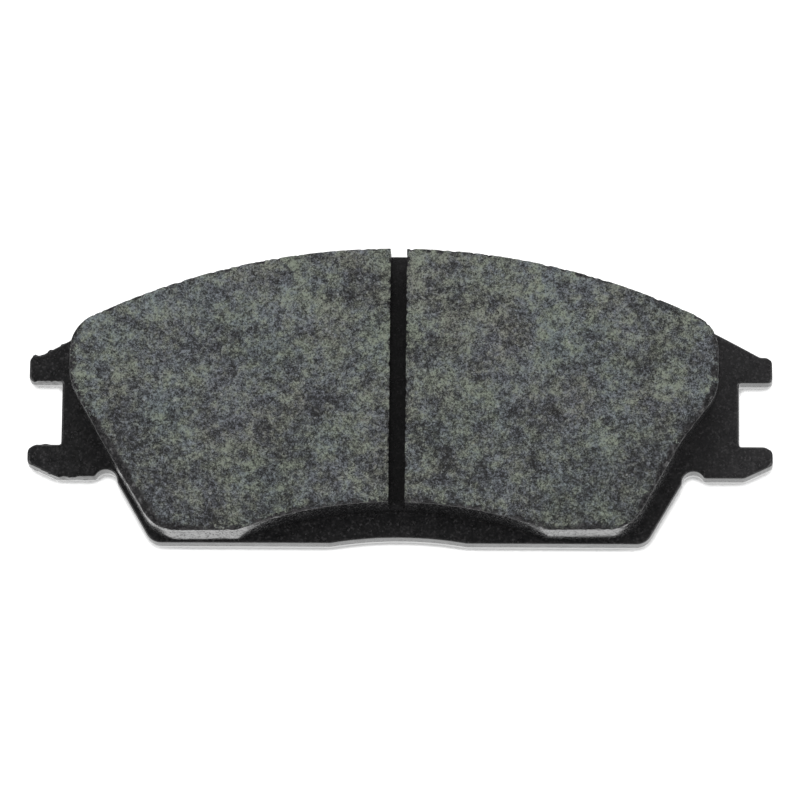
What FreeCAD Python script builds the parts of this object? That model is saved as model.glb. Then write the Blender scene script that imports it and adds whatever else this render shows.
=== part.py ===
import FreeCAD, Part
import math
import os

# Brake pad, lying on its back. Millimetres.
# Origin: centre of the back face, which the caliper piston pushes on.
# +X runs along the pad, +Y points away from the disc's axis, +Z out of the friction face.

# The brake disc's axis is parallel to Z. All the long arcs of the pad are centred on it.
DISC_AXIS_Y = -100.9

# Layers, from the back face up
SHIM_RUBBER = 0.15
SHIM_STEEL = 0.35
SHIM_ADHESIVE = 0.05
PLATE_THICKNESS = 5.5
FILM_THICKNESS = 0.1
UNDERLAYER_THICKNESS = 2.0
LINING_THICKNESS = 7.9

# Backing plate, symmetric about X = 0
PLATE_OUTER_RADIUS = 127.7
PLATE_INNER_RADIUS = 75.15
PLATE_BOTTOM_Y = -26.8
SHOULDER_ANGLE = 28.7
PLATE_ARCH_ANGLE = 9.0
SIDE_SLANT = 30.0
SIDE_FOOT_X = 45.45
SIDE_FOOT_RADIUS = 3.0

# The two prongs at each end, and the notch between them that slides on the bracket's rail
PRONG_END_X = 68.5
NOTCH_WALL_X = 62.35
NOTCH_TOP_Y = 3.6
NOTCH_BOTTOM_Y = -8.6
UPPER_PRONG_TOP_Y = 8.3
LOWER_PRONG_BOTTOM_Y = -14.4
LOWER_PRONG_SLANT = 25.0
LOWER_PRONG_TIP_Y = -12.05
PRONG_TIP_RADIUS = 1.2
LOWER_TIP_RADIUS = 1.6
SMALL_RADIUS = 0.6

# Round relief between the lower prong and the slanted side
RELIEF_X = 54.2
RELIEF_Y = -15.37
RELIEF_RADIUS = 2.25

# Blanked edge: the punch rolls the plate's front rim over
RIM_ROLL = 0.3

# Two holes through the plate that the underlayer fills, to hold the lining
PLUG_HOLE_X = 28.0
PLUG_HOLE_Y = 1.0
PLUG_HOLE_RADIUS = 7.0

# Lining, symmetric about its own middle, moulded a little left of the plate's and turned
LINING_OUTER_RADIUS = 127.3
LINING_INNER_RADIUS = 79.8
LINING_SHOULDER_ANGLE = 24.0
LINING_ARCH_ANGLE = 19.0
LINING_WAIST_Y = -10.0
LINING_BOTTOM_Y = -26.3
LINING_SHIFT = -1.15
LINING_TURN = 0.3
SHOULDER_RADIUS = 7.0
HIP_RADIUS = 8.0
FOOT_RADIUS = 7.0
ARCH_FOOT_RADIUS = 2.0

# Ends of the lining, at the plate and at the ground face. Each end has the distances of its
# farthest point, its waist and its foot from the lining's middle, and the height of its hip.
LEFT_END_AT_PLATE = (59.6, 53.0, 43.7, 2.1)
LEFT_END_AT_FACE = (59.2, 52.9, 43.2, 1.7)
RIGHT_END_AT_PLATE = (60.0, 52.95, 44.0, 0.6)
RIGHT_END_AT_FACE = (59.7, 52.8, 43.6, -0.8)

# Slot across the middle of the lining, cut square to the plate
SLOT_WIDTH = 3.15
SLOT_FLOOR_WIDTH = 2.85
SLOT_CENTRE_X = -0.13
SLOT_FLOOR_HEIGHT = 3.6

# The noise shim stops short of the plate's edge
SHIM_MARGIN = 1.2
SHIM_END = (57.5, 51.2, 43.7, -0.8)

# Heights of the layers' faces above the back face
SHIM_CORE_Z = SHIM_RUBBER
SHIM_INNER_RUBBER_Z = SHIM_CORE_Z + SHIM_STEEL
SHIM_ADHESIVE_Z = SHIM_INNER_RUBBER_Z + SHIM_RUBBER
PLATE_Z = SHIM_ADHESIVE_Z + SHIM_ADHESIVE
FILM_Z = PLATE_Z + PLATE_THICKNESS
UNDERLAYER_Z = FILM_Z + FILM_THICKNESS
LINING_Z = UNDERLAYER_Z + UNDERLAYER_THICKNESS
FACE_Z = LINING_Z + LINING_THICKNESS


def arc_corner(radius, half_angle):
    """Corner on the Y axis whose rounding is an arc about the disc's axis."""
    return (0.0, DISC_AXIS_Y + radius / math.cos(math.radians(half_angle)), radius)


def tangent_y(radius, angle, x):
    """Height at x of the line that touches an arc about the disc's axis at this angle."""
    a = math.radians(angle)
    return DISC_AXIS_Y + (radius - x * math.sin(a)) / math.cos(a)


def tangent_x(radius, angle, y):
    """Place at height y of the line that touches an arc about the disc's axis at this angle."""
    a = math.radians(angle)
    return (radius - (y - DISC_AXIS_Y) * math.cos(a)) / math.sin(a)


def slanted_x(foot_x, foot_y, slant, y):
    """Place at height y of a side that leans outwards by slant degrees from its foot."""
    return foot_x + (y - foot_y) * math.tan(math.radians(slant))


def mirrored(corners):
    """The same corners on the left side, in the opposite order."""
    return [(-x, y, radius) for x, y, radius in reversed(corners)]


def outline(corners, z):
    """Closed wire through corners of (x, y, radius), each rounded by its own radius."""
    count = len(corners)
    points = [FreeCAD.Vector(x, y, z) for x, y, radius in corners]
    arcs = []
    for i in range(count):
        to_last = (points[i - 1] - points[i]).normalize()
        to_next = (points[(i + 1) % count] - points[i]).normalize()
        half = to_last.getAngle(to_next) / 2
        radius = corners[i][2]
        reach = radius / math.tan(half)
        sag = radius / math.sin(half) - radius
        inwards = (to_last + to_next).normalize()
        arcs.append((points[i] + to_last * reach, points[i] + inwards * sag, points[i] + to_next * reach))
    edges = []
    for i in range(count):
        start, middle, end = arcs[i]
        next_start = arcs[(i + 1) % count][0]
        edges.append(Part.Arc(start, middle, end).toShape())
        edges.append(Part.LineSegment(end, next_start).toShape())
    return Part.Wire(edges)


def prism(corners, z, height):
    """Upright solid with the outline of the corners."""
    return Part.Face(outline(corners, z)).extrude(FreeCAD.Vector(0, 0, height))


def post(x, y, radius, z, height):
    """Upright round post."""
    return Part.makeCylinder(radius, height, FreeCAD.Vector(x, y, z))


def plug_posts(z, height):
    """Two round posts in the places of the plate's plug holes."""
    return [post(side * PLUG_HOLE_X, PLUG_HOLE_Y, PLUG_HOLE_RADIUS, z, height) for side in (-1, 1)]


def plate_corners():
    """Outline of the backing plate, clockwise from the middle of its outer arc."""
    slope_end_x = tangent_x(PLATE_OUTER_RADIUS, SHOULDER_ANGLE, UPPER_PRONG_TOP_Y)
    tip_drop = LOWER_PRONG_TIP_Y - LOWER_PRONG_BOTTOM_Y
    lower_slope_x = PRONG_END_X - tip_drop / math.tan(math.radians(LOWER_PRONG_SLANT))
    side_top_x = slanted_x(SIDE_FOOT_X, PLATE_BOTTOM_Y, SIDE_SLANT, LOWER_PRONG_BOTTOM_Y)
    arch_x = tangent_x(PLATE_INNER_RADIUS, PLATE_ARCH_ANGLE, PLATE_BOTTOM_Y)
    right = [
        (slope_end_x, UPPER_PRONG_TOP_Y, PRONG_TIP_RADIUS),
        (PRONG_END_X, UPPER_PRONG_TOP_Y, PRONG_TIP_RADIUS),
        (PRONG_END_X, NOTCH_TOP_Y, SMALL_RADIUS),
        (NOTCH_WALL_X, NOTCH_TOP_Y, SMALL_RADIUS),
        (NOTCH_WALL_X, NOTCH_BOTTOM_Y, SMALL_RADIUS),
        (PRONG_END_X, NOTCH_BOTTOM_Y, LOWER_TIP_RADIUS),
        (PRONG_END_X, LOWER_PRONG_TIP_Y, PRONG_TIP_RADIUS),
        (lower_slope_x, LOWER_PRONG_BOTTOM_Y, PRONG_TIP_RADIUS),
        (side_top_x, LOWER_PRONG_BOTTOM_Y, SMALL_RADIUS),
        (SIDE_FOOT_X, PLATE_BOTTOM_Y, SIDE_FOOT_RADIUS),
        (arch_x, PLATE_BOTTOM_Y, SMALL_RADIUS),
    ]
    top = arc_corner(PLATE_OUTER_RADIUS, SHOULDER_ANGLE)
    arch = arc_corner(PLATE_INNER_RADIUS, PLATE_ARCH_ANGLE)
    return [top] + right + [arch] + mirrored(right)


def crescent_corners(outer, inner, arch_angle, bottom, right_end, left_end):
    """Outline of a pad-shaped layer; an end is (end_x, waist_x, foot_x, hip_y)."""
    arch_x = tangent_x(inner, arch_angle, bottom)

    def side(end_x, waist_x, foot_x, hip_y):
        return [
            (end_x, tangent_y(outer, LINING_SHOULDER_ANGLE, end_x), SHOULDER_RADIUS),
            (end_x, hip_y, HIP_RADIUS),
            (waist_x, LINING_WAIST_Y, HIP_RADIUS),
            (foot_x, bottom, FOOT_RADIUS),
            (arch_x, bottom, ARCH_FOOT_RADIUS),
        ]

    top = arc_corner(outer, LINING_SHOULDER_ANGLE)
    arch = arc_corner(inner, arch_angle)
    return [top] + side(*right_end) + [arch] + mirrored(side(*left_end))


def between(low, high, share):
    """Values a share of the way from low to high."""
    return [a + (b - a) * share for a, b in zip(low, high)]


def lining_corners(height):
    """Outline of the lining block at a height above the plate."""
    share = height / (FACE_Z - FILM_Z)
    return crescent_corners(
        LINING_OUTER_RADIUS,
        LINING_INNER_RADIUS,
        LINING_ARCH_ANGLE,
        LINING_BOTTOM_Y,
        between(RIGHT_END_AT_PLATE, RIGHT_END_AT_FACE, share),
        between(LEFT_END_AT_PLATE, LEFT_END_AT_FACE, share),
    )


def lining_layer(z, height):
    """Slice of the moulded block between two heights, in its place on the plate."""
    lower = outline(lining_corners(z - FILM_Z), z)
    upper = outline(lining_corners(z - FILM_Z + height), z + height)
    layer = Part.makeLoft([lower, upper], True, True)
    layer.rotate(FreeCAD.Vector(0, 0, 0), FreeCAD.Vector(0, 0, 1), LINING_TURN)
    layer.translate(FreeCAD.Vector(LINING_SHIFT, 0, 0))
    return layer


def shim_layer(z, height):
    """One layer of the noise shim."""
    corners = crescent_corners(
        PLATE_OUTER_RADIUS - SHIM_MARGIN,
        PLATE_INNER_RADIUS + SHIM_MARGIN,
        PLATE_ARCH_ANGLE,
        PLATE_BOTTOM_Y + SHIM_MARGIN,
        SHIM_END,
        SHIM_END,
    )
    return prism(corners, z, height)


def make_backing_plate():
    """Blanked steel plate with two prongs at each end, reliefs and two plug holes."""
    plate = prism(plate_corners(), PLATE_Z, PLATE_THICKNESS)
    for side in (-1, 1):
        relief = post(side * RELIEF_X, RELIEF_Y, RELIEF_RADIUS, PLATE_Z, PLATE_THICKNESS)
        plate = plate.cut(relief)
    front_rim = [edge for edge in plate.Edges if edge.BoundBox.ZMin > FILM_Z - RIM_ROLL]
    plate = plate.makeFillet(RIM_ROLL, front_rim)
    return plate.cut(plug_posts(PLATE_Z, PLATE_THICKNESS))


def make_adhesive_film():
    """Bonding film between the plate and the underlayer, open at the plug holes."""
    return lining_layer(FILM_Z, FILM_THICKNESS).cut(plug_posts(FILM_Z, FILM_THICKNESS))


def make_underlayer():
    """Insulating layer under the friction material, with a plug in each of the plate's holes."""
    plugs = plug_posts(PLATE_Z, UNDERLAYER_Z - PLATE_Z)
    return lining_layer(UNDERLAYER_Z, UNDERLAYER_THICKNESS).fuse(plugs).removeSplitter()


def make_friction_lining():
    """Friction block with its cross slot, whose floor stays clear of the underlayer."""
    floor_z = FILM_Z + SLOT_FLOOR_HEIGHT
    half_floor = SLOT_FLOOR_WIDTH / 2
    half_mouth = SLOT_WIDTH / 2
    reach = LINING_OUTER_RADIUS
    profile = Part.makePolygon(
        [
            FreeCAD.Vector(SLOT_CENTRE_X - half_floor, -reach, floor_z),
            FreeCAD.Vector(SLOT_CENTRE_X + half_floor, -reach, floor_z),
            FreeCAD.Vector(SLOT_CENTRE_X + half_mouth, -reach, FACE_Z),
            FreeCAD.Vector(SLOT_CENTRE_X - half_mouth, -reach, FACE_Z),
            FreeCAD.Vector(SLOT_CENTRE_X - half_floor, -reach, floor_z),
        ]
    )
    slot = Part.Face(profile).extrude(FreeCAD.Vector(0, 2 * reach, 0))
    return lining_layer(LINING_Z, LINING_THICKNESS).cut(slot)


def make_parts():
    """Every node by name."""
    return {
        "shim_outer_rubber": shim_layer(0, SHIM_RUBBER),
        "shim_steel_core": shim_layer(SHIM_CORE_Z, SHIM_STEEL),
        "shim_inner_rubber": shim_layer(SHIM_INNER_RUBBER_Z, SHIM_RUBBER),
        "shim_adhesive": shim_layer(SHIM_ADHESIVE_Z, SHIM_ADHESIVE),
        "backing_plate": make_backing_plate(),
        "adhesive_film": make_adhesive_film(),
        "underlayer": make_underlayer(),
        "friction_lining": make_friction_lining(),
    }


os.makedirs("parts", exist_ok=True)
for name, shape in make_parts().items():
    solid = shape.Solids[0]
    print(name, "solids", len(shape.Solids), "valid", solid.isValid(), "volume", round(solid.Volume))
    solid.exportStep("parts/" + name + ".step")
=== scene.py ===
import math

import bmesh
import bpy
import numpy as np
from mathutils import Matrix, Vector, kdtree, noise
from mathutils.geometry import delaunay_2d_cdt


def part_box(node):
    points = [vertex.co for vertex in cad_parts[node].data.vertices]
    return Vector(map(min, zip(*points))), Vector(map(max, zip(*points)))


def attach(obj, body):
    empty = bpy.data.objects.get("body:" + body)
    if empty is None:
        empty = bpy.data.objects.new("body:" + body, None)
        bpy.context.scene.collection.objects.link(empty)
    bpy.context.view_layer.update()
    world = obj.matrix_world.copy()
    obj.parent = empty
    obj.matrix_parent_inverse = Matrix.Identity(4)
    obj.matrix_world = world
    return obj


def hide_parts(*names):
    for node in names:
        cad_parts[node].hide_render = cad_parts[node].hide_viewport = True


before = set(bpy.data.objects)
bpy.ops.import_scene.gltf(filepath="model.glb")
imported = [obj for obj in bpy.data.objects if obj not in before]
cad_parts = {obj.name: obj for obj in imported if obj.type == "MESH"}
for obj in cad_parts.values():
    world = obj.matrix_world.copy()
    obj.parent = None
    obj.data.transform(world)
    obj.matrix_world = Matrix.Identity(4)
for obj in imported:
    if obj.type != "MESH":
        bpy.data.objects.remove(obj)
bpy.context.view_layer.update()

MM = 0.001
WELD = 0.001 * MM
RANDOM = np.random.default_rng(7)

# Heights of the layers' faces, from the frame
PLATE_BACK_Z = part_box("backing_plate")[0].z
PLATE_FRONT_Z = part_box("backing_plate")[1].z
UNDERLAYER_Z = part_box("adhesive_film")[1].z
LINING_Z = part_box("friction_lining")[0].z
FACE_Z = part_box("friction_lining")[1].z

# Distances between mesh points
FACE_STEP = 0.30 * MM
WALL_STEP = 0.36 * MM
PLATE_STEP = 0.38 * MM
HIDDEN_STEP = 3.0 * MM
DENSE_STEP = 0.04 * MM

# Outlines of the CAD nodes are rounded again where they turn less than CORNER_TURN. A chord that is
# LONG_CHORD times longer than the next one is a straight.
CORNER_TURN = math.radians(20)
LONG_CHORD = 2.5

# Edges that turn more than this are shaded sharp
SHARP_TURN = math.radians(60)

# Blanked edge of the plate: rolled front rim, sheared upper part, torn lower part, rounded back rim.
# The edge swells out to the line where the steel tore, at this share of the plate's thickness.
RIM_ROLL = 0.30 * MM
TEAR_LINE = 0.50
EDGE_SWELL = 0.16 * MM
SHEAR_LEAN = 0.09 * MM
TEAR_LEAN = 0.20 * MM
TEAR_GROOVE = 0.05 * MM
BACK_ROUND = 0.12 * MM

# Points along the rolled rim, each half of the edge, and a rounded rim
ROLL_POINTS = 7
EDGE_POINTS = 8
ROUND_POINTS = 5

# Paint that stands on the plate's ends and on the tips of its lower prongs, with the distance from
# the middle where each begins; then the beads of paint along the edges of the left prongs, with the
# x where they begin and the height of large and small ones
END_COAT = 0.13 * MM
END_X = 60 * MM
LOWER_TIP_COAT = 0.08 * MM
LOWER_TIP_X = 66 * MM
BEAD_X = -55 * MM
LARGE_BEAD = 0.26 * MM
SMALL_BEAD = 0.16 * MM

# Rim of the friction block: rounded by the mould and a little lower than the ground face, so it
# keeps its black coat wherever it is lower than BARE_Z. It falls outwards by RIM_SLOPE, and the wall
# below it follows down to RIM_REACH.
LINING_RIM = 0.16 * MM
BARE_DEPTH = 0.11 * MM
BARE_Z = FACE_Z - BARE_DEPTH
RIM_SLOPE = 0.18
RIM_REACH = 1.0 * MM

# Width of the black rim in millimetres: beside the middle, what the lower left and lower right parts
# add, what the ends take away, beside the upper arc, and beside the slot
RIM_MIDDLE = 0.50
RIM_LOWER_LEFT = 0.55
RIM_LOWER_RIGHT = 0.35
RIM_ENDS = 0.50
RIM_ARC = 0.1
RIM_SLOT = 0.08

# The slot's floor rounds off at its two ends, by this much over this distance
LIP_ROUND = 0.2 * MM
LIP_REACH = 0.6 * MM

# Chips in the block's rim, and grains that stand proud of it: their pattern less the threshold is
# held within the range and scaled, and it fades out at the reach from the rim
CHIP_THRESHOLD = 0.28
CHIP_RANGE = (-0.25, 0.6)
CHIP_SCALE = 0.42 * MM
CHIP_REACH = 0.9 * MM

# Unevenness of surfaces: (height, size of the lumps, seed), heights and sizes in millimetres
GROUND_GRAIN = ((0.012, 0.55, 4), (0.010, 1.3, 5))
MOULDED_WALL = ((0.022, 1.6, 7), (0.012, 0.6, 8))
CHIP_PATTERN = ((0.9, 1.1, 2), (0.6, 0.5, 3))
ORANGE_PEEL = ((0.010, 1.5, 11), (0.006, 0.7, 12))
TORN_STEEL = ((0.02, 0.5, 13),)
SLOT_RIM_WAVES = ((0.16, 0.9, 16),)
RIM_BITES = ((0.35, 1.5, 9),)

# Ground face: how far its grain lies below the face's height and how deep its pores are, in millimetres
GRAIN_BELOW = 0.02
PORE_DEPTH = 0.07

# Camera, in degrees and metres: the lens looks down at the friction face, leaning to the inner side
CAMERA_LEAN = 12.64
CAMERA_YAW = 1.92
CAMERA_ROLL = 0.61
CAMERA_DISTANCE = 1.138
CAMERA_LENS = 277.2
CAMERA_SENSOR = 36.0
CAMERA_TARGET = Vector((0.018, 0.092, 6.2)) * MM

# Colours, in linear light
COMPOSITE_COOL = (0.0875, 0.0980, 0.1075, 1)
COMPOSITE_WARM = (0.1035, 0.1110, 0.0915, 1)
TINGE_PURPLE = (1.045, 0.98, 1.03, 1)
TINGE_GREEN = (0.955, 1.02, 0.97, 1)
RUST = (0.120, 0.105, 0.085, 1)
GLINT = (0.34, 0.35, 0.34, 1)
PIT_SHADE_COLOUR = (0.020, 0.020, 0.022, 1)
PAINT = (0.0028, 0.0029, 0.0034, 1)
# colour of dust on the coat, also used as painted light on the plate's right end
PAINT_DUST_AND_PAINTED_LIGHT = (0.046, 0.044, 0.046, 1)
RUBBER_DARK = (0.022, 0.023, 0.024, 1)
RUBBER_LIGHT = (0.050, 0.050, 0.052, 1)
STEEL_DARK = (0.28, 0.28, 0.29, 1)
STEEL_LIGHT = (0.46, 0.46, 0.46, 1)
SHIM_GLUE_DARK = (0.05, 0.035, 0.02, 1)
SHIM_GLUE_LIGHT = (0.09, 0.065, 0.035, 1)
BOND_DARK = (0.008, 0.007, 0.006, 1)
BOND_LIGHT = (0.02, 0.016, 0.012, 1)
FLOOR_GREY = (0.25, 0.25, 0.25, 1)
WHITE = (1, 1, 1, 1)

# Places on the object: half-width of the stretch that holds the slot, half-width of the lower arch and
# the y below which it lies, and the x from which painted light makes the plate lighter up to its end
SLOT_HALF = 3.3 * MM
ARCH_HALF = 30 * MM
ARCH_Y = -12 * MM
PAINTED_LIGHT_X = (36 * MM, 64 * MM)

# Brightness of the ground composite is mixed on the screen's scale and turned into light by this power
SCREEN_GAMMA = 2.2

# Sizes of the patterns in the composite and in the paint, and the depth of their relief
PATCH_SIZE = 3.0 * MM
BROAD_SIZE = 9 * MM
BLOT_SIZE = 0.50 * MM
SMALL_GRAIN = 0.20 * MM
LARGE_GRAIN = 0.42 * MM
NIB_SIZE = 0.30 * MM
GRIT_SIZE = 0.26 * MM
RELIEF_DEPTH = 0.02 * MM
SIDE_RELIEF_DEPTH = 0.008 * MM

# Floor and light. Close to the object the glow is dimmed by a share, for the camera only, as a painted
# contact shadow.
FLOOR_HALF = 4.0
FLOOR_DROP = 0.02 * MM
FLOOR_GLOW = 1.1
CONTACT_REACH = 1.6 * MM
CONTACT_SHADOW_SHARE = 0.72
SKY_TOP = 0.14
SKY_SIDE = 0.50
BACKDROP = 1.0

# Softboxes: name, azimuth and elevation in degrees, distance and size in metres; the power is in watts
SOFTBOX_POWER = 3.1
SOFTBOXES = (
    ("softbox_left", -75, 42, 0.9, 0.6),
    ("softbox_right", 75, 42, 0.9, 0.6),
    ("softbox_back", 180, 40, 1.0, 0.7),
)


# ---------------------------------------------------------------- outlines from the frame


def welded(node):
    """A CAD node's mesh with its split corners joined."""
    work = bmesh.new()
    work.from_mesh(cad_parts[node].data)
    bmesh.ops.remove_doubles(work, verts=work.verts, dist=WELD)
    work.verts.index_update()
    return work


def outlines(node, height):
    """Closed outlines of a node's level face at a height, longest first, as (x, y) points."""
    work = welded(node)
    level = {face for face in work.faces if all(abs(v.co.z - height) < WELD for v in face.verts)}
    beside = {}
    for face in level:
        for edge in face.edges:
            if sum(other in level for other in edge.link_faces) == 1:
                for vert in edge.verts:
                    beside.setdefault(vert.index, set()).add(edge.other_vert(vert).index)
    work.verts.ensure_lookup_table()
    loops = []
    waiting = sorted(beside)
    while waiting:
        loop = [waiting[0]]
        while True:
            ahead = sorted(i for i in beside[loop[-1]] if i not in loop)
            if not ahead:
                break
            loop.append(ahead[0])
        waiting = [i for i in waiting if i not in loop]
        loops.append(np.array([work.verts[i].co.xy[:] for i in loop]))
    work.free()
    return sorted((counter_clockwise(loop) for loop in loops), key=length, reverse=True)


def counter_clockwise(loop):
    """The loop, turned round if it runs clockwise."""
    ahead = np.roll(loop, -1, axis=0)
    area = (loop[:, 0] * ahead[:, 1] - loop[:, 1] * ahead[:, 0]).sum()
    return loop if area > 0 else loop[::-1]


def length(loop):
    """Length round a closed loop."""
    return np.linalg.norm(np.roll(loop, -1, axis=0) - loop, axis=1).sum()


def rounded(loop):
    """A closed loop of chords turned back into smooth arcs, as dense points."""
    chord = np.roll(loop, -1, axis=0) - loop
    size = np.linalg.norm(chord, axis=1)
    ahead = chord / size[:, None]
    behind = np.roll(ahead, 1, axis=0)
    size_behind = np.roll(size, 1)
    turn = np.abs(np.arctan2(np.cross(behind, ahead), (behind * ahead).sum(1)))
    tangent = behind * size[:, None] + ahead * size_behind[:, None]
    tangent = np.where((size > LONG_CHORD * size_behind)[:, None], ahead, tangent)
    tangent = np.where((size_behind > LONG_CHORD * size)[:, None], behind, tangent)
    tangent /= np.linalg.norm(tangent, axis=1)[:, None]
    corner = (turn > CORNER_TURN)[:, None]
    leaving = np.where(corner, ahead, tangent)
    arriving = np.roll(np.where(corner, behind, tangent), -1, axis=0)
    ends = np.roll(loop, -1, axis=0)
    dense = []
    for i in range(len(loop)):
        steps = max(1, math.ceil(size[i] / DENSE_STEP))
        t = (np.arange(steps) / steps)[:, None]
        dense.append(
            (1 + 2 * t) * (1 - t) ** 2 * loop[i]
            + t * (1 - t) ** 2 * size[i] * leaving[i]
            + t * t * (3 - 2 * t) * ends[i]
            + t * t * (t - 1) * size[i] * arriving[i]
        )
    return np.vstack(dense)


def evenly(points, count):
    """Count points evenly spaced along an open line of points."""
    steps = np.linalg.norm(np.diff(points, axis=0), axis=1)
    along = np.concatenate([[0], np.cumsum(steps)])
    at = np.linspace(0, along[-1], count)
    return np.column_stack([np.interp(at, along, column) for column in points.T])


def evenly_round(loop, count):
    """Count points evenly spaced round a closed loop, starting at its highest x."""
    loop = np.roll(loop, -int(np.argmax(loop[:, 0])), axis=0)
    return evenly(np.vstack([loop, loop[:1]]), count + 1)[:-1]


def stretch(loop, side, cut_x, count):
    """The part of a loop beyond cut_x on one side, from its upper to its lower end, evenly spaced."""
    beyond = side * (loop[:, 0] - cut_x) > WELD
    first = int(np.argmax(beyond & ~np.roll(beyond, 1)))
    loop = np.roll(loop, -first, axis=0)
    kept = int(np.roll(beyond, -first).sum())
    ends = []
    for inner, outer in ((loop[0], loop[-1]), (loop[kept - 1], loop[kept])):
        share = (cut_x - inner[0]) / (outer[0] - inner[0])
        ends.append(inner + (outer - inner) * share)
    line = np.vstack([ends[0], loop[:kept], ends[1]])
    if line[0, 1] < line[-1, 1]:
        line = line[::-1]
    return evenly(line, count)


def inward(loop):
    """Unit directions into a counter-clockwise loop at each of its points."""
    along = np.roll(loop, -1, axis=0) - np.roll(loop, 1, axis=0)
    along /= np.linalg.norm(along, axis=1)[:, None]
    return np.column_stack([-along[:, 1], along[:, 0]])


# ---------------------------------------------------------------- mesh patches


def at_height(line, height):
    """Points of a line of (x, y) at one height."""
    return np.column_stack([line, np.full(len(line), height)])


def mix(a, b, share):
    """A share of the way from a to b."""
    return a + (b - a) * share


def strip(rows, closed=False):
    """Quads between successive rows of points."""
    rows = np.array(rows)
    index = np.arange(rows.shape[0] * rows.shape[1]).reshape(rows.shape[:2])
    here = index if closed else index[:, :-1]
    ahead = np.roll(index, -1, axis=1) if closed else index[:, 1:]
    quads = np.stack([here[:-1], ahead[:-1], ahead[1:], here[1:]], axis=-1)
    return rows.reshape(-1, 3), quads.reshape(-1, 4).tolist()


def inside(points, loop):
    """Which points lie inside a closed loop."""
    found = np.zeros(len(points), bool)
    ahead = np.roll(loop, -1, axis=0)
    x, y = points[:, 0], points[:, 1]
    for (ax, ay), (bx, by) in zip(loop, ahead):
        if ay != by:
            crosses = (ay > y) != (by > y)
            found ^= crosses & (x < (bx - ax) * (y - ay) / (by - ay) + ax)
    return found


def distance_to(points, line):
    """Distance from each point to the nearest point of a line of points."""
    tree = kdtree.KDTree(len(line))
    for i, (x, y) in enumerate(line):
        tree.insert((x, y, 0), i)
    tree.balance()
    return np.array([tree.find((x, y, 0))[2] for x, y in points])


def scattered(loop, step):
    """Slightly uneven triangular lattice of points inside a loop."""
    low, high = loop.min(0), loop.max(0)
    row_step = step * math.sqrt(3) / 2
    columns = np.arange(low[0], high[0], step)
    rows = np.arange(low[1], high[1], row_step)
    x, y = np.meshgrid(columns, rows)
    x = x + (np.arange(len(rows)) % 2 * step / 2)[:, None]
    points = np.column_stack([x.ravel(), y.ravel()])
    points += RANDOM.uniform(-step / 6, step / 6, points.shape)
    points = points[inside(points, loop)]
    return points[distance_to(points, loop) > step * 0.6]


def filled(loops, points, height):
    """Triangles at one height inside the first loop and outside the others, through the points."""
    places, edges = [], []
    for loop in loops:
        start, count = len(places), len(loop)
        places += [Vector(p) for p in loop]
        edges += [(start + i, start + (i + 1) % count) for i in range(count)]
    places += [Vector(p) for p in points]
    verts, _, faces, *_ = delaunay_2d_cdt(places, edges, [], 1, WELD * WELD)
    verts = np.array([v[:] for v in verts])
    faces = np.array(faces)
    for hole in loops[1:]:
        faces = faces[~inside(verts[faces].mean(1), hole)]
    return at_height(verts, height), faces.tolist()


def joined(name, patches):
    """One closed mesh object from patches whose shared borders coincide."""
    start, points, faces = 0, [], []
    for patch_points, patch_faces in patches:
        points.append(patch_points)
        faces += [[start + i for i in face] for face in patch_faces]
        start += len(patch_points)
    mesh = bpy.data.meshes.new(name)
    mesh.from_pydata(np.vstack(points).tolist(), [], faces)
    work = bmesh.new()
    work.from_mesh(mesh)
    bmesh.ops.remove_doubles(work, verts=work.verts, dist=WELD)
    bmesh.ops.recalc_face_normals(work, faces=work.faces)
    work.to_mesh(mesh)
    work.free()
    piece = bpy.data.objects.new(name, mesh)
    bpy.context.scene.collection.objects.link(piece)
    mesh.polygons.foreach_set("use_smooth", np.ones(len(mesh.polygons), bool))
    mesh.set_sharp_from_angle(angle=SHARP_TURN)
    return piece


def vectors_of(piece, kind):
    """A mesh's points ("co") or point normals ("normal") as an array."""
    flat = np.zeros(len(piece.data.vertices) * 3, np.float32)
    piece.data.vertices.foreach_get(kind, flat)
    return flat.reshape(-1, 3).astype(float)


def move_points(piece, points):
    """Gives a mesh new places for its points."""
    piece.data.vertices.foreach_set("co", points.astype(np.float32).ravel())
    piece.data.update()


def lumps(points, size, seed):
    """Smooth random field, about -1 to 1, whose lumps are about this size."""
    offset = Vector((seed * 17.3, seed * 5.1, seed * 9.7))
    return np.array([noise.noise(Vector(p) / size + offset) for p in points])


def uneven(points, layers):
    """Sum of layers of lumps, each (height, size in millimetres, seed)."""
    return sum(height * lumps(points, size * MM, seed) for height, size, seed in layers)


def smoothstep(low, high, value):
    """0 below low, 1 above high, smooth between."""
    t = np.clip((value - low) / (high - low), 0, 1)
    return t * t * (3 - 2 * t)


# ---------------------------------------------------------------- friction block


def slot_floor():
    """Height of the slot's floor and the x of its two sides."""
    work = welded("friction_lining")
    level = [face for face in work.faces if face.normal.z > 0.99 and face.verts[0].co.z < FACE_Z - WELD]
    corners = [vert.co.copy() for face in level for vert in face.verts]
    work.free()
    sides = [corner.x for corner in corners]
    return corners[0].z, min(sides), max(sides)


def over_rim(lower, upper, side):
    """Rows over a wall's rounded rim, from the wall to the level face. The first and last point of a
    row lie in the slot's side, so they aren't moved across it."""
    along = np.gradient(upper[:, :2], axis=0)
    along /= np.linalg.norm(along, axis=1)[:, None]
    into = side * np.column_stack([along[:, 1], -along[:, 0], np.zeros(len(along))])
    into[[0, -1], 0] = 0
    rows = []
    for angle in np.radians(np.linspace(0, 90, ROUND_POINTS))[1:]:
        height = FACE_Z - LINING_RIM * (1 - math.sin(angle))
        row = mix(lower, upper, (height - LINING_Z) / (FACE_Z - LINING_Z))
        rows.append(row + into * LINING_RIM * (1 - math.cos(angle)))
    return rows


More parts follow.
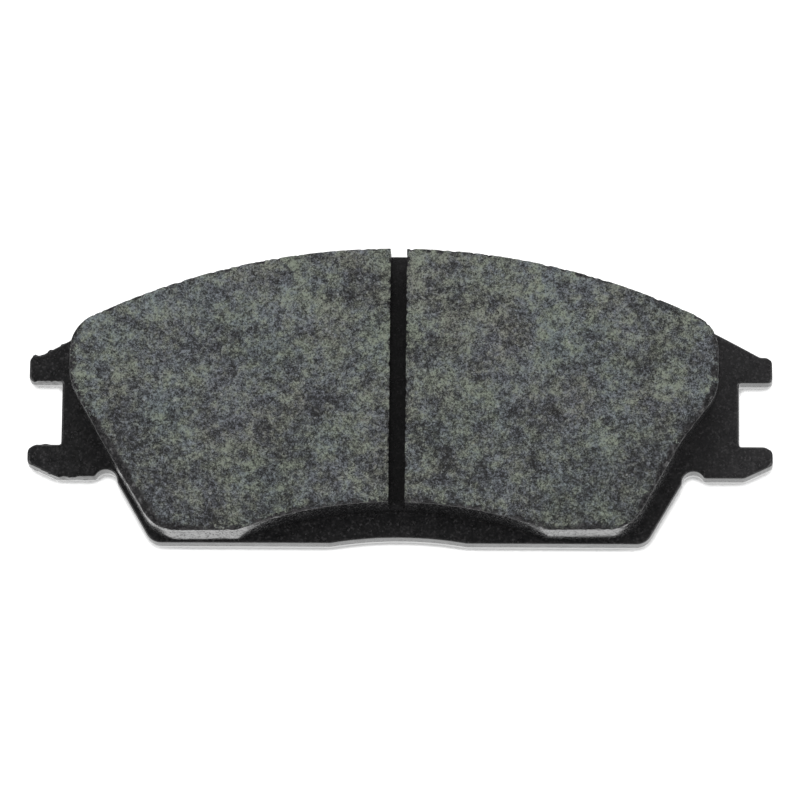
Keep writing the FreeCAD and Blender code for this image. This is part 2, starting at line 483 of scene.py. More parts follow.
def build_friction_block():
    """Ground block with its cross slot, as one dense closed mesh."""
    floor_z, floor_left, floor_right = slot_floor()
    base = rounded(outlines("friction_lining", LINING_Z)[0])
    halves = {np.sign(loop[:, 0].mean()): rounded(loop) for loop in outlines("friction_lining", FACE_Z)}
    face_left, face_right = halves[-1][:, 0].max(), halves[1][:, 0].min()
    count = round(length(base) / 2 / WALL_STEP)
    low_rows = round((floor_z - LINING_Z) / WALL_STEP)
    high_rows = round((FACE_Z - floor_z) / WALL_STEP)
    low_heights = np.linspace(LINING_Z, floor_z, low_rows + 1)
    high_heights = np.linspace(floor_z, FACE_Z - LINING_RIM, high_rows + 1)[1:]
    heights = np.concatenate([low_heights, high_heights])
    walls = {}
    for side, floor_x, face_x in ((1, floor_right, face_right), (-1, floor_left, face_left)):
        lower = at_height(stretch(base, side, floor_x, count), LINING_Z)
        upper = at_height(stretch(halves[side], side, face_x, count), FACE_Z)
        walls[side] = [mix(lower, upper, (z - LINING_Z) / (FACE_Z - LINING_Z)) for z in heights]
        walls[side] += over_rim(lower, upper, side)
    gap_count = round((face_right - face_left) / WALL_STEP)
    slot_count = round(abs(walls[1][-1][0, 1] - walls[1][-1][-1, 1]) / WALL_STEP)
    across = np.linspace(0, 1, gap_count + 1)[:, None]
    down = np.linspace(0, 1, slot_count + 1)[:, None]
    patches = []
    edges = {}
    for side, rows in walls.items():
        patches.append(strip(rows))
        lines = [mix(row[0], row[-1], down) for row in rows[low_rows:]]
        patches.append(strip(lines))
        edges[side] = lines
        rim = np.vstack([rows[-1][:-1], lines[-1][::-1][:-1]])[:, :2]
        patches.append(filled([rim], scattered(rim, FACE_STEP), FACE_Z))
    for end in (0, -1):
        below_slot = zip(walls[-1][: low_rows + 1], walls[1][: low_rows + 1])
        patches.append(strip([mix(left[end], right[end], across) for left, right in below_slot]))
    patches.append(strip([mix(edges[-1][0], edges[1][0], share) for share in across[:, 0]]))
    ring = np.vstack(
        [
            walls[1][0][:-1],
            mix(walls[1][0][-1], walls[-1][0][-1], across)[:-1],
            walls[-1][0][::-1][:-1],
            mix(walls[-1][0][0], walls[1][0][0], across)[:-1],
        ]
    )[:, :2]
    patches.append(filled([ring], scattered(ring, HIDDEN_STEP), LINING_Z))
    piece = joined("friction_block", patches)
    outline = np.vstack([walls[side][-1][:, :2] for side in walls])
    slot_sides = np.vstack([edges[side][-1][:, :2] for side in edges])
    wear_friction_block(piece, outline, slot_sides, floor_z, ring)
    return piece


def black_rim_width(points):
    """How wide the black rim is beside each point: most at the lower corners, least on the arc."""
    x, y = points[:, 0], points[:, 1]
    level = points * [1, 1, 0]
    left = smoothstep(-34 * MM, -44 * MM, x)
    right = smoothstep(44 * MM, 49 * MM, x)
    ends = smoothstep(57 * MM, 59.5 * MM, np.abs(x))
    width = RIM_MIDDLE + RIM_LOWER_LEFT * left + RIM_LOWER_RIGHT * right - RIM_ENDS * ends
    width = width * (1 + 0.5 * lumps(level, 5 * MM, 1)) + uneven(level, RIM_BITES)
    arc = smoothstep(6 * MM, 12 * MM, y) * (1 - ends)
    return np.clip(mix(width, RIM_ARC, arc), 0, None) * MM


def moulded_swell(points):
    """Slight unevenness of the moulded and painted walls, in metres."""
    return uneven(points, MOULDED_WALL) * MM


def wear_friction_block(piece, outline, slot_sides, floor_z, foot):
    """Grain and pores on the ground face, sunk and chipped rims, lumpy moulded walls. Outline is the
    face's, slot_sides are the slot's upper edges, foot is the block's lowest outline."""
    points, normals = vectors_of(piece, "co"), vectors_of(piece, "normal")
    on_face = points[:, 2] > FACE_Z - WELD
    depth = FACE_Z - points[:, 2]
    shift = np.zeros_like(points)

    # sunk rims: wide along parts of the outline, narrow beside the slot
    high = depth < RIM_REACH
    from_outline = distance_to(points[high, :2], outline)
    from_slot = distance_to(points[high, :2], slot_sides)
    slot_width = (RIM_SLOT + uneven(points[high], SLOT_RIM_WAVES)) * MM
    sunk = np.maximum(black_rim_width(points[high]) - from_outline, slot_width - from_slot)
    sunk = np.clip(BARE_DEPTH + RIM_SLOPE * sunk, 0, None)
    shift[high, 2] -= sunk * (1 - depth[high] / RIM_REACH)
    from_rim = depth.copy()
    from_rim[on_face] = np.minimum(from_outline, from_slot)[on_face[high]]

    # the slot's floor rounds off at its two ends
    on_floor = np.abs(points[:, 2] - floor_z) < WELD
    to_lip = distance_to(points[on_floor, :2], outline)
    shift[on_floor, 2] -= np.clip(1 - to_lip / LIP_REACH, 0, 1) ** 2 * LIP_ROUND

    # chips bitten out of the rim, and grains that stand proud of it
    bite = np.clip(uneven(points, CHIP_PATTERN) - CHIP_THRESHOLD, *CHIP_RANGE) * CHIP_SCALE
    bite *= np.clip(1 - from_rim / CHIP_REACH, 0, 1)
    shift -= normals * bite[:, None]

    # ground face: fine grain and pores, a little below the face's own height
    grain = uneven(points, GROUND_GRAIN) - GRAIN_BELOW
    pores = smoothstep(0.42, 0.75, lumps(points, 0.62 * MM, 6)) * PORE_DEPTH
    shift[:, 2] += np.where(on_face, (grain - pores) * MM, 0)

    # walls and slot: moulded and painted, with the foot in line with the underlayer's wall
    low = points[:, 2] < LINING_Z + WELD
    normals[low, 2] = 0
    at_foot = low.copy()
    at_foot[low] = distance_to(points[low, :2], foot) < WALL_STEP / 2
    wall = at_foot | (~on_face & ~low)
    shift += normals * np.where(wall, moulded_swell(points), 0)[:, None]
    move_points(piece, points + shift)


def build_underlayer():
    """Insulating layer under the block, with a plug for each of the plate's two holes."""
    lower, *plugs = outlines("underlayer", UNDERLAYER_Z)
    upper = outlines("underlayer", LINING_Z)[0]
    count = round(length(lower) / WALL_STEP)
    low_ring = evenly_round(rounded(lower), count)
    high_ring = evenly_round(rounded(upper), count)
    rows = round((LINING_Z - UNDERLAYER_Z) / WALL_STEP)
    wall = [
        at_height(mix(low_ring, high_ring, share), mix(UNDERLAYER_Z, LINING_Z, share))
        for share in np.linspace(0, 1, rows + 1)
    ]
    patches = [strip(wall, closed=True)]
    patches.append(filled([high_ring], scattered(high_ring, HIDDEN_STEP), LINING_Z))
    plug_rings = [evenly_round(rounded(plug), round(length(plug) / WALL_STEP / 2)) for plug in plugs]
    spread = scattered(low_ring, HIDDEN_STEP)
    plug_rows = round((UNDERLAYER_Z - PLATE_BACK_Z) / WALL_STEP / 2)
    heights = np.linspace(PLATE_BACK_Z, UNDERLAYER_Z, plug_rows)
    for ring in plug_rings:
        spread = spread[~inside(spread, ring) & (distance_to(spread, ring) > HIDDEN_STEP / 4)]
        patches.append(strip([at_height(ring, z) for z in heights], closed=True))
        patches.append(filled([ring], scattered(ring, WALL_STEP * 2), PLATE_BACK_Z))
    patches.append(filled([low_ring] + plug_rings, spread, UNDERLAYER_Z))
    piece = joined("underlayer_moulding", patches)
    points, normals = vectors_of(piece, "co"), vectors_of(piece, "normal")
    beside = distance_to(points[:, :2], low_ring) < 0.5 * MM
    side = beside & (points[:, 2] > UNDERLAYER_Z - WELD)
    normals[:, 2] = 0
    move_points(piece, points + normals * np.where(side, moulded_swell(points), 0)[:, None])
    return piece


def plate_profile():
    """(inset, height) down the plate's edge, from the rolled front rim to the back."""
    tear_z = mix(PLATE_BACK_Z, PLATE_FRONT_Z, TEAR_LINE)
    roll_z = PLATE_FRONT_Z - RIM_ROLL
    back_z = PLATE_BACK_Z + BACK_ROUND
    profile = []
    for angle in np.radians(np.linspace(90, 0, ROLL_POINTS)):
        inset = SHEAR_LEAN + RIM_ROLL * (1 - math.cos(angle))
        profile.append((inset, roll_z + RIM_ROLL * math.sin(angle)))
    for share in np.linspace(0, 1, EDGE_POINTS)[1:]:
        profile.append((SHEAR_LEAN * (1 - share), mix(roll_z, tear_z, share)))
    profile.append((TEAR_GROOVE, tear_z - TEAR_GROOVE * 2))
    for share in np.linspace(0, 1, EDGE_POINTS):
        profile.append((TEAR_LEAN * share, mix(tear_z - TEAR_GROOVE * 4, back_z, share)))
    for angle in np.radians(np.linspace(0, 90, ROUND_POINTS))[1:]:
        inset = TEAR_LEAN + BACK_ROUND * (1 - math.cos(angle))
        profile.append((inset, back_z - BACK_ROUND * math.sin(angle)))
    return [(inset - EDGE_SWELL, z) for inset, z in profile]


def build_plate():
    """Blanked steel plate with prongs, reliefs and plug holes, under a coat of paint."""
    outer, *holes = outlines("backing_plate", PLATE_BACK_Z)
    ring = evenly_round(rounded(outer), round(length(outer) / PLATE_STEP))
    rims = [evenly_round(rounded(hole), round(length(hole) / PLATE_STEP / 2)) for hole in holes]
    into = inward(ring)
    profile = plate_profile()
    patches = [strip([at_height(ring + into * inset, z) for inset, z in profile], closed=True)]
    for hole in rims:
        patches.append(strip([at_height(hole, z) for z in (PLATE_BACK_Z, PLATE_FRONT_Z)], closed=True))
    cover = {
        PLATE_FRONT_Z: outlines("adhesive_film", UNDERLAYER_Z)[0],
        PLATE_BACK_Z: outlines("shim_adhesive", PLATE_BACK_Z)[0],
    }
    for z, inset in ((PLATE_FRONT_Z, profile[0][0]), (PLATE_BACK_Z, profile[-1][0])):
        rim = ring + into * inset
        fine = scattered(rim, PLATE_STEP)
        covered = inside(fine, cover[z]) & (distance_to(fine, rounded(cover[z])) > 2 * PLATE_STEP)
        coarse = scattered(rim, HIDDEN_STEP)
        under = inside(coarse, cover[z]) & (distance_to(coarse, rounded(cover[z])) > 3 * PLATE_STEP)
        spread = np.vstack([fine[~covered], coarse[under]])
        for hole in rims:
            spread = spread[~inside(spread, hole) & (distance_to(spread, hole) > PLATE_STEP)]
        patches.append(filled([rim] + rims, spread, z))
    piece = joined("plate_body", patches)
    coat_plate(piece)
    return piece


def coat_plate(piece):
    """Uneven coat: orange peel, roughness below the tear, thick ends, beads on the left prongs."""
    points, normals = vectors_of(piece, "co"), vectors_of(piece, "normal")
    x, y, z = points.T
    peel = uneven(points, ORANGE_PEEL)
    torn = smoothstep(0, -0.3 * MM, z - mix(PLATE_BACK_Z, PLATE_FRONT_Z, TEAR_LINE))
    on_edge = np.abs(normals[:, 2]) < 0.5
    peel += np.where(on_edge, torn * uneven(points, TORN_STEEL), 0)

    # beads on the edges that face up or down the pad, longer through the plate than along it
    drawn_out = points * [1, 1, 0.2]
    bead = smoothstep(0.0, 0.4, lumps(drawn_out, 0.9 * MM, 14)) * LARGE_BEAD
    bead += SMALL_BEAD * np.clip(lumps(drawn_out, 0.45 * MM, 15), 0, 1)
    bead *= smoothstep(0.6, 0.9, np.abs(normals[:, 1])) * smoothstep(BEAD_X, BEAD_X - 4 * MM, x)
    bead *= smoothstep(PLATE_BACK_Z, PLATE_FRONT_Z, z)

    out = np.abs(x)
    ends = END_COAT * smoothstep(END_X, END_X + 2 * MM, out)
    ends += LOWER_TIP_COAT * smoothstep(LOWER_TIP_X, LOWER_TIP_X + 2 * MM, out) * (y < 0)
    ends *= smoothstep(0.6, 0.9, np.abs(normals[:, 0]))
    move_points(piece, points + normals * (peel * MM + bead + ends)[:, None])


# ---------------------------------------------------------------- materials


def new_material(name):
    """Empty node material: (material, node tree, its Principled shader)."""
    made = bpy.data.materials.new(name)
    made.use_nodes = True
    tree = made.node_tree
    tree.nodes.clear()
    shader = tree.nodes.new("ShaderNodeBsdfPrincipled")
    output = tree.nodes.new("ShaderNodeOutputMaterial")
    tree.links.new(shader.outputs["BSDF"], output.inputs["Surface"])
    return made, tree, shader


def add(tree, kind, inputs=None, **settings):
    """A shader node with settings, and inputs that are values or other nodes' sockets."""
    node = tree.nodes.new("ShaderNode" + kind)
    for key, value in settings.items():
        setattr(node, key, value)
    for key, value in (inputs or {}).items():
        if isinstance(value, bpy.types.NodeSocket):
            tree.links.new(value, node.inputs[key])
        else:
            node.inputs[key].default_value = value
    return node


def place(tree, offset=0.0):
    """Position in metres, moved by an offset so that two patterns differ."""
    where = add(tree, "TexCoord").outputs["Object"]
    return add(tree, "VectorMath", {0: where, 1: (offset, offset, offset)}, operation="ADD").outputs[0]


def cloud(tree, where, size, detail=2.0, roughness=0.5):
    """Noise from 0 to 1 with features of about this size."""
    inputs = {"Vector": where, "Scale": 1 / size, "Detail": detail, "Roughness": roughness}
    return add(tree, "TexNoise", inputs).outputs[0]


def grains(tree, where, size):
    """Random value from 0 to 1 for each grain of about this size."""
    cells = add(tree, "TexVoronoi", {"Vector": where, "Scale": 1 / size})
    return add(tree, "SeparateColor", {0: cells.outputs["Color"]}).outputs[0]


def ramp(tree, value, low, high, to_low=0.0, to_high=1.0, smooth=True):
    """Value moved from low..high to to_low..to_high, and held there beyond."""
    kind = "SMOOTHSTEP" if smooth else "LINEAR"
    inputs = {"Value": value, "From Min": low, "From Max": high, "To Min": to_low, "To Max": to_high}
    return add(tree, "MapRange", inputs, interpolation_type=kind).outputs[0]


def maths(tree, operation, a, b=0.0, c=0.0):
    """One arithmetic step."""
    return add(tree, "Math", {0: a, 1: b, 2: c}, operation=operation).outputs[0]


def blend(tree, share, a, b):
    """Colour a where share is 0, b where it is 1."""
    node = add(tree, "Mix", {0: share, 6: a, 7: b}, data_type="RGBA")
    return node.outputs[2]


def weighted(tree, terms):
    """Sum of (value - 0.5) * weight."""
    total = 0.0
    for value, weight in terms:
        part = maths(tree, "MULTIPLY_ADD", value, weight, -weight / 2)
        total = maths(tree, "ADD", part, total)
    return total


def bump(tree, height, distance):
    """Normal of a relief of this height field; distance is the relief's depth in metres."""
    return add(tree, "Bump", {"Height": height, "Distance": distance}).outputs[0]


def axes(tree):
    """The x, y and z of a place on the surface, in metres."""
    return add(tree, "SeparateXYZ", {0: place(tree)}).outputs


def sideways(tree):
    """1 on walls and edges, 0 on level faces."""
    normal = add(tree, "NewGeometry").outputs["Normal"]
    upright = maths(tree, "ABSOLUTE", add(tree, "SeparateXYZ", {0: normal}).outputs[2])
    return ramp(tree, upright, 0.5, 0.15)


def paint_look(tree, offset=0.0, dust_and_painted_light=0.0, wall_roughness=0.5, wall_specks=1.6):
    """(colour, roughness, height, relief depth) of the black coat, with nibs of dust. On its walls the
    roughness is multiplied by wall_roughness, and more on specks."""
    where = place(tree, offset)
    side = sideways(tree)

    # share of the dust colour: nibs or a broad tint, fine grit, and what the caller adds, which is dust
    # on the block and painted light on the plate's right end; less on walls
    nibs = ramp(tree, grains(tree, where, NIB_SIZE), 0.86, 0.99, 0.0, 0.75)
    tint = ramp(tree, cloud(tree, where, 3 * MM, 4.0, 0.6), 0.35, 0.7, 0.0, 0.10)
    grain = grains(tree, place(tree, offset + 0.37), GRIT_SIZE)
    grit = maths(tree, "MULTIPLY", maths(tree, "POWER", grain, 3.0), 0.5)
    share = maths(tree, "ADD", maths(tree, "MAXIMUM", nibs, tint), grit)
    share = maths(tree, "ADD", share, dust_and_painted_light)
    share = maths(tree, "MULTIPLY", share, ramp(tree, side, 0.0, 1.0, 1.0, 0.4))
    colour = blend(tree, share, PAINT, PAINT_DUST_AND_PAINTED_LIGHT)

    # roughness of the faces, times a factor for the walls
    roughness = ramp(tree, cloud(tree, where, 1.7 * MM, 3.0, 0.6), 0.3, 0.7, 0.24, 0.36, smooth=False)
    walls = maths(tree, "MULTIPLY_ADD", ramp(tree, grain, 0.24, 0.10), wall_specks, wall_roughness)
    walls = maths(tree, "MULTIPLY_ADD", maths(tree, "SUBTRACT", walls, 1.0), side, 1.0)
    roughness = maths(tree, "MULTIPLY", roughness, walls)

    # relief: orange peel, a finer unevenness and the nibs
    peel = cloud(tree, where, 1.1 * MM)
    fine = cloud(tree, where, 0.25 * MM, 2.0, 0.6)
    height = maths(tree, "ADD", maths(tree, "MULTIPLY", fine, 0.22), peel)
    height = maths(tree, "ADD", height, nibs)
    relief = ramp(tree, side, 0.0, 1.0, RELIEF_DEPTH, SIDE_RELIEF_DEPTH)
    return colour, roughness, height, relief


def painted_moulding_material():
    """Black paint on the underlayer's wall, as on the friction block's."""
    made, tree, shader = new_material("painted_underlayer")
    link_paint(tree, shader, paint_look(tree))
    return made


def painted_plate_material():
    """Black paint on the plate, with painted light making it lighter towards its right end, glossy on
    its edge below the tear.
    """
    made, tree, shader = new_material("painted_plate")
    across, _, height = axes(tree)
    # painted light: the paint grows lighter towards the plate's right end
    dust_and_painted_light = ramp(tree, across, *PAINTED_LIGHT_X, 0.0, 0.26)
    tear_z = mix(PLATE_BACK_Z, PLATE_FRONT_Z, TEAR_LINE)
    edge = ramp(tree, height, tear_z, tear_z + 0.2 * MM, 0.35, 0.85)
    on_rim = maths(tree, "GREATER_THAN", height, PLATE_FRONT_Z - RIM_ROLL / 2)
    edge = ramp(tree, on_rim, 0.0, 1.0, edge, 0.5)
    link_paint(tree, shader, paint_look(tree, 0.23, dust_and_painted_light, edge, 0.0))
    return made


def link_paint(tree, shader, look):
    """Gives a shader the paint's look."""
    colour, roughness, height, relief = look
    tree.links.new(colour, shader.inputs["Base Color"])
    tree.links.new(roughness, shader.inputs["Roughness"])
    tree.links.new(bump(tree, height, relief), shader.inputs["Normal"])


def ground_brightness(tree, small, large, broad):
    """Brightness of the ground composite on the screen's scale: patches, grains and dark blots, with
    painted shade making the face a little darker towards its lower side."""
    patchy = cloud(tree, place(tree), PATCH_SIZE, 5.0, 1.0)
    value = weighted(tree, [(patchy, 3.9), (small, 0.74), (large, 0.52), (broad, 0.9)])
    blot = ramp(tree, cloud(tree, place(tree, 0.83), BLOT_SIZE), 0.42, 0.30, 0.0, -0.34)
    value = maths(tree, "ADD", value, blot)
    # painted shade: the face grows darker towards its lower side
    to_lower_side = ramp(tree, axes(tree)[1], 24 * MM, -26 * MM, smooth=False)
    shade = maths(tree, "MULTIPLY_ADD", maths(tree, "POWER", to_lower_side, 2.0), -0.22, 1.02)
    value = maths(tree, "SMOOTH_MIN", maths(tree, "ADD", value, shade), 1.50, 0.35)
    return maths(tree, "MAXIMUM", value, 0.22)


def ground_colour(tree, broad):
    """Colour of the ground composite: bluish to yellowish, purplish to greenish, with specks of rust."""
    coarse = cloud(tree, place(tree), PATCH_SIZE, 1.0, 1.0)
    warmth = weighted(
        tree,
        [
            (coarse, 1.3),
            (cloud(tree, place(tree, 0.53), 1.1 * MM, 2.0, 0.7), 1.5),
            (cloud(tree, place(tree, 0.59), 4.5 * MM, 2.0, 0.6), 1.1),
            (cloud(tree, place(tree, 0.61), 22 * MM, 1.0), 0.6),
        ],
    )
    colour = blend(tree, ramp(tree, warmth, -0.4, 0.4), COMPOSITE_COOL, COMPOSITE_WARM)
    drift = cloud(tree, place(tree, 0.67), 14 * MM, 1.0)
    greenness = weighted(tree, [(coarse, 0.7), (broad, 0.7), (drift, 0.8)])
    tinge = blend(tree, ramp(tree, greenness, -0.35, 0.35), TINGE_PURPLE, TINGE_GREEN)
    colour = add(tree, "VectorMath", {0: colour, 1: tinge}, operation="MULTIPLY").outputs[0]
    rust = ramp(tree, grains(tree, place(tree, 0.71), 0.5 * MM), 0.975, 0.995, 0.0, 0.25)
    return blend(tree, rust, colour, RUST)


def arch_streaks(tree, ragged, small):
    """Broken light streaks on the rim's outer part and the top of the wall, along the lower arch."""
    across, along, height = axes(tree)
    rim_z = maths(tree, "MULTIPLY_ADD", ragged, 0.5, height)
    streak = ramp(tree, rim_z, BARE_Z - 0.04 * MM, BARE_Z - 0.09 * MM)
    streak = maths(tree, "MULTIPLY", streak, ramp(tree, rim_z, FACE_Z - 1.1 * MM, FACE_Z - 0.6 * MM))
    streak = maths(tree, "MULTIPLY", streak, ramp(tree, along, ARCH_Y + 4 * MM, ARCH_Y))
    from_middle = maths(tree, "ABSOLUTE", across)
    in_arch = ramp(tree, from_middle, ARCH_HALF + 6 * MM, ARCH_HALF)
    streak = maths(tree, "MULTIPLY", streak, in_arch)
    broken = ramp(tree, cloud(tree, place(tree, 0.43), 1.5 * MM), 0.38, 0.56, 0.15, 0.75)
    return maths(tree, "MULTIPLY", streak, maths(tree, "MULTIPLY_ADD", small, 0.7, broken))


def dust_on_coat(tree, small, large, ragged):
    """Dust on the block's black coat: on the rim, in the slot and in streaks under the arch."""
    across, along, height = axes(tree)
    in_slot = ramp(tree, maths(tree, "ABSOLUTE", across), SLOT_HALF + 0.3 * MM, SLOT_HALF)
    slot_dust = maths(tree, "MULTIPLY", maths(tree, "MULTIPLY", in_slot, sideways(tree)), 0.35)
    slot_end = ramp(tree, along, 20 * MM, 24.5 * MM, 0.0, 0.3)
    slot_dust = maths(tree, "MULTIPLY_ADD", in_slot, slot_end, slot_dust)
    slot_dust = maths(tree, "MAXIMUM", slot_dust, arch_streaks(tree, ragged, small))
    rim_dust = ramp(tree, height, FACE_Z - RIM_REACH, FACE_Z - 0.4 * MM, 0.0, 2.0)
    rim_grain = maths(tree, "POWER", maths(tree, "MULTIPLY", small, large), 2.0)
    rim_dust = maths(tree, "MULTIPLY", rim_dust, rim_grain)
    return maths(tree, "MAXIMUM", rim_dust, slot_dust)


def friction_material():
    """Ground composite of fine grains, with black paint wherever the face wasn't ground."""
    made, tree, shader = new_material("ground_composite")
    where = place(tree)
    small = grains(tree, where, SMALL_GRAIN)
    large = grains(tree, place(tree, 0.17), LARGE_GRAIN)
    broad = cloud(tree, place(tree, 0.31), BROAD_SIZE)
    value = maths(tree, "POWER", ground_brightness(tree, small, large, broad), SCREEN_GAMMA)
    scaled = {0: ground_colour(tree, broad), "Scale": value}
    colour = add(tree, "VectorMath", scaled, operation="SCALE").outputs[0]
    glint = ramp(tree, grains(tree, place(tree, 0.93), 0.33 * MM), 0.9990, 0.9995, 0.0, 0.7)
    colour = blend(tree, glint, colour, GLINT)
    # painted shade of small pits: dark specks blended into the composite's colour
    pit_shade = ramp(tree, grains(tree, place(tree, 0.11), 0.36 * MM), 0.05, 0.02, 0.0, 0.65)
    colour = blend(tree, pit_shade, colour, PIT_SHADE_COLOUR)

    # bare above BARE_Z, black below it, with a ragged border
    ragged_fine = cloud(tree, where, 0.35 * MM, 3.0, 0.7)
    ragged = weighted(tree, [(ragged_fine, 0.36 * MM), (cloud(tree, where, 2.0 * MM), 0.16 * MM)])
    ragged_z = maths(tree, "ADD", axes(tree)[2], ragged)
    bare = ramp(tree, ragged_z, BARE_Z - 0.02 * MM, BARE_Z + 0.02 * MM)
    dust_and_painted_light = dust_on_coat(tree, small, large, ragged)
    black, black_roughness, black_height, relief = paint_look(tree, 0.0, dust_and_painted_light)
    tree.links.new(blend(tree, bare, black, colour), shader.inputs["Base Color"])
    rougher = maths(tree, "SUBTRACT", 0.78, black_roughness)
    rough = maths(tree, "MULTIPLY_ADD", bare, rougher, black_roughness)
    tree.links.new(rough, shader.inputs["Roughness"])
    standing = maths(tree, "MULTIPLY", small, 0.4)
    grit = maths(tree, "ADD", cloud(tree, where, 0.3 * MM, 3.0, 0.7), standing)
    height = blend(tree, bare, black_height, grit)
    relief = maths(tree, "MULTIPLY_ADD", bare, RELIEF_DEPTH, relief)
    tree.links.new(bump(tree, height, relief), shader.inputs["Normal"])
    return made


def rubber_material():
    """Dull charcoal rubber coat of the shim."""
    made, tree, shader = new_material("shim_rubber_coat")
    where = place(tree)
    mottle = cloud(tree, where, 6 * MM, 5.0, 0.65)
    specks = grains(tree, where, 0.3 * MM)
    value = weighted(tree, [(mottle, 0.5), (specks, 0.25)])
    share = ramp(tree, value, -0.3, 0.3)
    colour = blend(tree, share, RUBBER_DARK, RUBBER_LIGHT)
    tree.links.new(colour, shader.inputs["Base Color"])
    tree.links.new(ramp(tree, mottle, 0.3, 0.7, 0.58, 0.72), shader.inputs["Roughness"])
    height = maths(tree, "ADD", cloud(tree, where, 0.35 * MM, 3.0, 0.6), specks)
    tree.links.new(bump(tree, height, 0.012 * MM), shader.inputs["Normal"])
    return made


def steel_material():
    """Cut edge of the shim's cold-rolled sheet."""
    made, tree, shader = new_material("shim_sheet_steel")
    where = place(tree)
    streaks = add(tree, "Mapping", {0: where, 3: (1, 1, 12)}).outputs[0]
    marks = cloud(tree, streaks, 0.8 * MM, 4.0, 0.7)
    colour = blend(tree, ramp(tree, marks, 0.3, 0.7), STEEL_DARK, STEEL_LIGHT)
    tree.links.new(colour, shader.inputs["Base Color"])
    shader.inputs["Metallic"].default_value = 1.0
    tree.links.new(ramp(tree, marks, 0.3, 0.7, 0.32, 0.5), shader.inputs["Roughness"])
    tree.links.new(bump(tree, marks, 0.01 * MM), shader.inputs["Normal"])
    return made


def glue_material(name, dark, light):
    """Thin line of cured glue or bonding film."""
    made, tree, shader = new_material(name)
    where = place(tree)
    mottle = cloud(tree, where, 1.4 * MM, 4.0, 0.6)
    tree.links.new(blend(tree, ramp(tree, mottle, 0.35, 0.65), dark, light), shader.inputs["Base Color"])
    tree.links.new(ramp(tree, mottle, 0.3, 0.7, 0.22, 0.4), shader.inputs["Roughness"])
    tree.links.new(bump(tree, mottle, 0.02 * MM), shader.inputs["Normal"])
    return made


def dress(piece, made):
    """Gives a piece one material."""
    piece.data.materials.clear()
    piece.data.materials.append(made)


def dress_node(node, made):
    """Gives a CAD node a material on its object, which leaves its mesh alone."""
    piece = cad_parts[node]
    for material_slot in piece.material_slots:
        material_slot.link = "OBJECT"
        material_slot.material = made


# ---------------------------------------------------------------- stage


def make_floor():
    """Light table: a plain glowing floor, with a painted contact shadow close to the object that only
    the camera sees.
    """
    mesh = bpy.data.meshes.new("floor")
    corners = [(-1, -1), (1, -1), (1, 1), (-1, 1)]
    points = [(x * FLOOR_HALF, y * FLOOR_HALF, -FLOOR_DROP) for x, y in corners]
    mesh.from_pydata(points, [], [(0, 1, 2, 3)])
    table = bpy.data.objects.new("floor", mesh)
    bpy.context.scene.collection.objects.link(table)
    made, tree, shader = new_material("pale_floor")
    shader.inputs["Base Color"].default_value = FLOOR_GREY
    shader.inputs["Roughness"].default_value = 0.9
    shader.inputs["Specular IOR Level"].default_value = 0.0
    shader.inputs["Emission Color"].default_value = WHITE
    # painted contact shadow: the glow is dimmed where the object hides the floor, for camera rays only
    openness = add(tree, "AmbientOcclusion", {"Distance": CONTACT_REACH}, samples=8).outputs["AO"]
    painted_contact_shadow = ramp(tree, openness, 0.61, 0.75, -CONTACT_SHADOW_SHARE * FLOOR_GLOW, 0.0, smooth=False)
    seen = add(tree, "LightPath").outputs["Is Camera Ray"]
    glow = maths(tree, "MULTIPLY_ADD", seen, painted_contact_shadow, FLOOR_GLOW)
    tree.links.new(glow, shader.inputs["Emission Strength"])
    dress(table, made)
    return table


def make_world():
    """Soft light all round, dimmer straight above, and a pale backdrop for the camera."""
    world = bpy.data.worlds.new("studio")
    bpy.context.scene.world = world
    world.use_nodes = True
    tree = world.node_tree
    tree.nodes.clear()
    direction = add(tree, "TexCoord").outputs["Generated"]
    up = add(tree, "SeparateXYZ", {0: direction}).outputs[2]
    strength = ramp(tree, up, 0.35, 0.95, SKY_SIDE, SKY_TOP)
    seen = add(tree, "LightPath").outputs["Is Camera Ray"]
    strength = maths(tree, "MULTIPLY_ADD", seen, maths(tree, "SUBTRACT", BACKDROP, strength), strength)
    sky = add(tree, "Background", {"Color": WHITE, "Strength": strength})
    output = tree.nodes.new("ShaderNodeOutputWorld")
    tree.links.new(sky.outputs[0], output.inputs["Surface"])


def add_softbox(name, azimuth, elevation, distance, size):
    """Square area light aimed at the object."""
    light = bpy.data.lights.new(name, "AREA")
    light.shape = "SQUARE"
    light.size = size
    light.energy = SOFTBOX_POWER
    a, e = math.radians(azimuth), math.radians(elevation)
    away = Vector((math.sin(a) * math.cos(e), -math.cos(a) * math.cos(e), math.sin(e)))
    softbox = bpy.data.objects.new(name, light)
    softbox.location = away * distance
    softbox.rotation_mode = "QUATERNION"
    softbox.rotation_quaternion = away.to_track_quat("Z", "Y")
    bpy.context.scene.collection.objects.link(softbox)


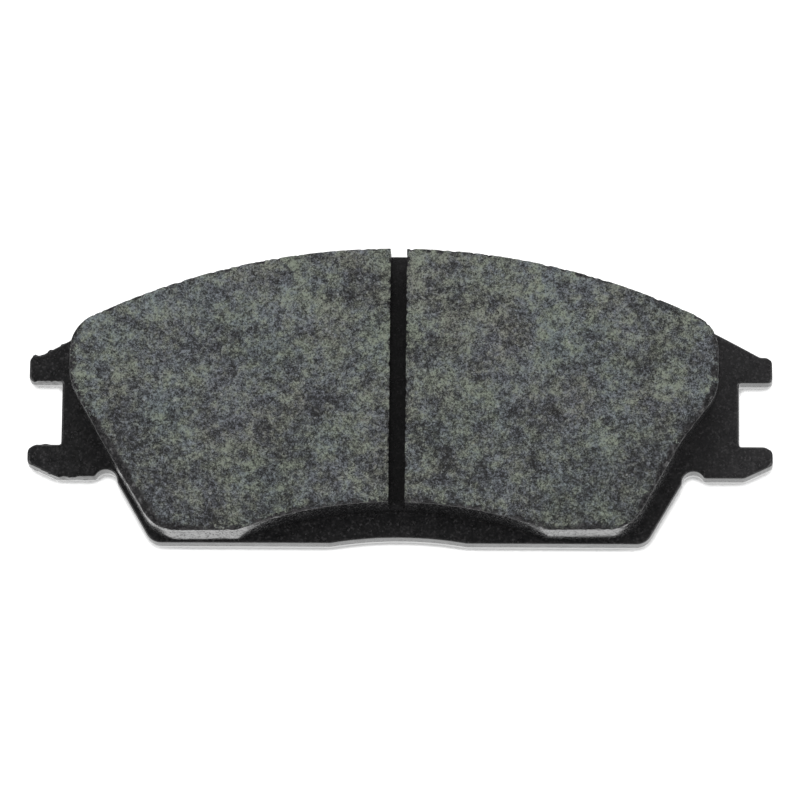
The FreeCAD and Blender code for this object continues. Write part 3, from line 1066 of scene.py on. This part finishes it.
def make_camera():
    """Long lens above the friction face, leaning a little to the pad's inner side."""
    lean, yaw, roll = (math.radians(v) for v in (CAMERA_LEAN, CAMERA_YAW, CAMERA_ROLL))
    away = Vector((math.sin(yaw) * math.cos(lean), -math.sin(lean), math.cos(yaw) * math.cos(lean)))
    right = (-away).cross(Vector((0, 1, 0))).normalized()
    up = right.cross(-away)
    turned_right = right * math.cos(roll) + up * math.sin(roll)
    turned_up = up * math.cos(roll) - right * math.sin(roll)
    data = bpy.data.cameras.new("camera")
    data.lens = CAMERA_LENS
    data.sensor_width = CAMERA_SENSOR
    data.clip_start, data.clip_end = 0.05, 20.0
    taker = bpy.data.objects.new("camera", data)
    bpy.context.scene.collection.objects.link(taker)
    turned = Matrix((turned_right, turned_up, away)).transposed().to_4x4()
    taker.matrix_world = Matrix.Translation(CAMERA_TARGET + away * CAMERA_DISTANCE) @ turned
    bpy.context.scene.camera = taker
    return taker


def hide_floor_from_below(table, taker):
    """The floor isn't drawn when the camera is under it, so that the back face can be seen."""
    curve = table.driver_add("hide_render")
    curve.modifiers[0].coefficients = (0, -1 / MM)
    curve.driver.type = "SUM"
    height = curve.driver.variables.new()
    height.type = "TRANSFORMS"
    height.targets[0].id = taker
    height.targets[0].transform_type = "LOC_Z"


# ---------------------------------------------------------------- the object


block = build_friction_block()
dress(block, friction_material())
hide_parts("friction_lining")
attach(block, "root")

underlayer = build_underlayer()
dress(underlayer, painted_moulding_material())
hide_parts("underlayer")
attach(underlayer, "root")

plate = build_plate()
dress(plate, painted_plate_material())
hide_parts("backing_plate")
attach(plate, "root")

rubber = rubber_material()
dress_node("shim_outer_rubber", rubber)
dress_node("shim_inner_rubber", rubber)
dress_node("shim_steel_core", steel_material())
dress_node("shim_adhesive", glue_material("shim_glue_line", SHIM_GLUE_DARK, SHIM_GLUE_LIGHT))
dress_node("adhesive_film", glue_material("bond_line", BOND_DARK, BOND_LIGHT))

hide_floor_from_below(make_floor(), make_camera())
make_world()
for softbox_values in SOFTBOXES:
    add_softbox(*softbox_values)
bpy.context.scene.view_settings.view_transform = "Standard"
